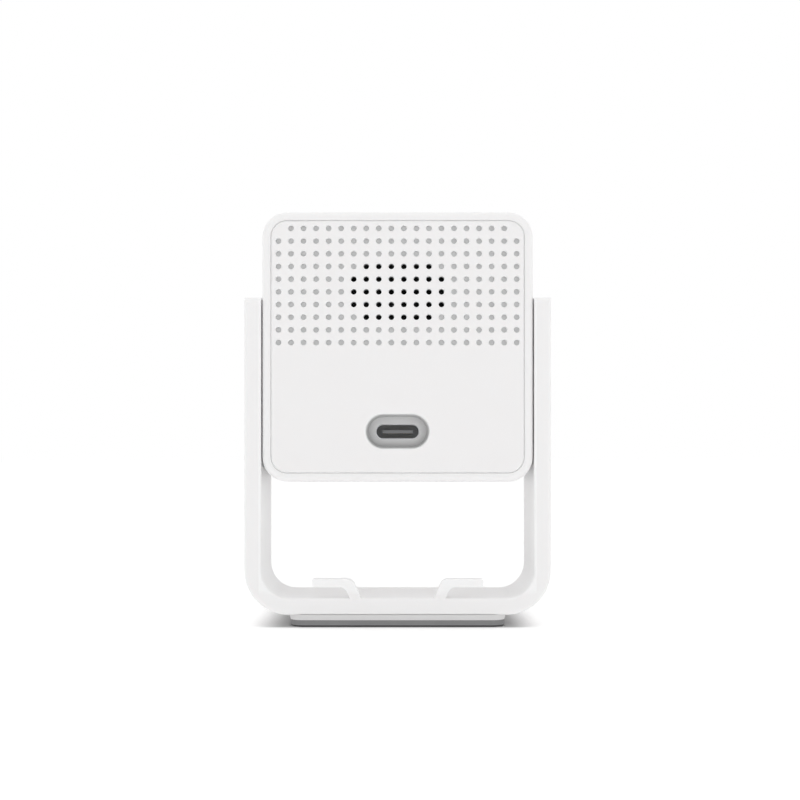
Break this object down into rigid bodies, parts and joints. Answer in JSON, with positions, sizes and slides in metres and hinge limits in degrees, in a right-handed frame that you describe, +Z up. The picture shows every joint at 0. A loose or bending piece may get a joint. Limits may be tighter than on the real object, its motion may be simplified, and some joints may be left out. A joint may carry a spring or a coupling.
{
  "type": "indoor pet camera",
  "caption": "Compact indoor pet camera: a rounded square head with a speaker grille and cable inlet at the back, tilting in a U-shaped bracket with cable hooks on a low padded base.",
  "frame": {"origin": "on the floor, under the middle of the head", "axes": "+Z up, +Y the way the lens looks at rest, +X across, to the right seen from behind"},
  "size_m": [0.06, 0.053, 0.0811],
  "materials": {
    "white_body": "fine matt moulded white plastic",
    "white_panel": "fine matt moulded white plastic",
    "grey_plinth": "matt moulded light grey plastic",
    "foot_rubber": "matt dark grey rubber",
    "inner_rubber": "matt black rubber and foam",
    "bright_steel": "plain bright steel",
    "black_plastic": "matt moulded black plastic",
    "window_gloss": "polished dark tinted acrylic",
    "lens_glass": "coated optical glass",
    "lamp_clear": "clear moulded epoxy and acrylic",
    "bush_plastic": "natural acetal",
    "circuit_board": "green solder resist on glass laminate",
    "chip_black": "black moulded chip packages",
    "plain_aluminium": "plain extruded aluminium",
    "copper_wire": "enamelled copper",
    "flat_cable": "flat laminated cable",
    "grille_cloth": "black woven acoustic mesh",
    "port_plastic": "black moulded contact block"
  },
  "bodies": {
    "stand": {"bracket": "white_body", "base_plinth": "grey_plinth", "foot_pad": "foot_rubber", "base_screws": "bright_steel", "pivot_pins": "bright_steel", "pivot_caps": "white_body", "friction_washers": "bright_steel", "pivot_clips": "bright_steel"},
    "head": {"head_shell": "white_body", "rear_cover": "white_panel", "front_tray": "black_plastic", "front_window": "window_gloss", "pivot_bushes": "bush_plastic", "tray_screws": "bright_steel", "lens_barrel": "black_plastic", "front_lens": "lens_glass", "rear_lens": "lens_glass", "lens_holder": "black_plastic", "light_baffle": "inner_rubber", "ir_cut_coil": "copper_wire", "sensor_board": "circuit_board", "image_sensor": "chip_black", "sensor_screws": "bright_steel", "ir_led_board": "circuit_board", "ir_leds": "lamp_clear", "light_sensor": "lamp_clear", "status_led": "lamp_clear", "light_pipe": "lamp_clear", "microphone": "bright_steel", "mic_boot": "inner_rubber", "main_board": "circuit_board", "processor": "chip_black", "memory_chips": "chip_black", "wifi_shield": "bright_steel", "thermal_pad": "inner_rubber", "heat_spreader": "plain_aluminium", "board_screws": "bright_steel", "sensor_cable": "flat_cable", "led_cable": "flat_cable", "cable_sockets": "black_plastic", "antenna": "copper_wire", "antenna_cable": "inner_rubber", "speaker_frame": "black_plastic", "speaker_cone": "chip_black", "speaker_magnet": "bright_steel", "speaker_gasket": "inner_rubber", "grille_mesh": "grille_cloth", "speaker_wires": "copper_wire", "usb_shell": "bright_steel", "usb_tongue": "port_plastic", "usb_board": "circuit_board", "board_link": "bush_plastic", "button_switch": "bright_steel"},
    "ir_filter": {"ir_cut_filter": "lens_glass"},
    "setup_key": {"setup_button": "white_body", "switch_plunger": "black_plastic"}
  },
  "joints": [
    {"name": "head_tilt", "type": "hinge", "parent": "stand", "child": "head", "pos_m": [0, -0.0155, 0.0547], "axis": [1, 0, 0], "range_deg": [-45, 90]},
    {"name": "setup_button_press", "type": "slide", "parent": "head", "child": "setup_key", "axis": [0, 0, 1], "range_m": [0, 0.0004], "stiffness_N_per_m": 1500},
    {"name": "ir_cut_slide", "type": "slide", "parent": "head", "child": "ir_filter", "axis": [1, 0, 0], "range_m": [0, 0.0066]}
  ]
}
